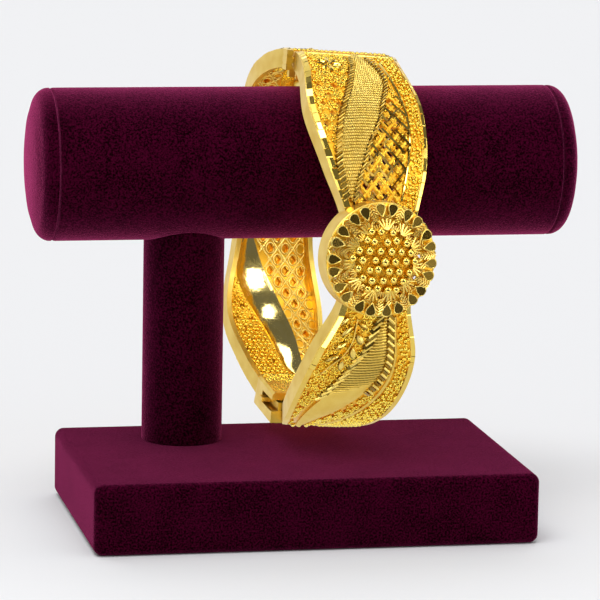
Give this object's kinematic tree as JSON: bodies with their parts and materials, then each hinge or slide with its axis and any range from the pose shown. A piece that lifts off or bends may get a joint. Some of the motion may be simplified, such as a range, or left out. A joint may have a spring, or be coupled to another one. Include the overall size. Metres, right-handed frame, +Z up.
{
  "type": "bangle on a T-bar display stand",
  "caption": "Hinged oval filigree bangle with a domed flower medallion and a box clasp, hanging on a velvet-covered T-bar display stand with a round post and a flat base.",
  "frame": {"origin": "middle of the stand base's underside", "axes": "+X along the bar, +Y from the bangle's flower back to the bangle's plain half, +Z up"},
  "size_m": [0.0984, 0.0722, 0.0824],
  "materials": {
    "gold": "polished yellow gold",
    "bright_gold": "bright-cut yellow gold",
    "clasp_gold": "satin yellow gold",
    "velvet": "burgundy velvet pile"
  },
  "bodies": {
    "stand_and_front_half": {"stand_base": "velvet", "stand_post": "velvet", "stand_bar": "velvet", "bar_cap_left": "velvet", "bar_cap_right": "velvet", "front_band": "gold", "flower_medallion": "bright_gold", "hinge_pin": "clasp_gold", "clasp_tongue": "clasp_gold"},
    "back_half": {"back_band": "gold"}
  },
  "joints": [
    {"name": "bangle_hinge", "type": "hinge", "parent": "stand_and_front_half", "child": "back_half", "pos_m": [0.01052, 0.01264, 0.07984], "axis": [0.9919, 0.1042, -0.0732], "range_deg": [0, 65]}
  ]
}
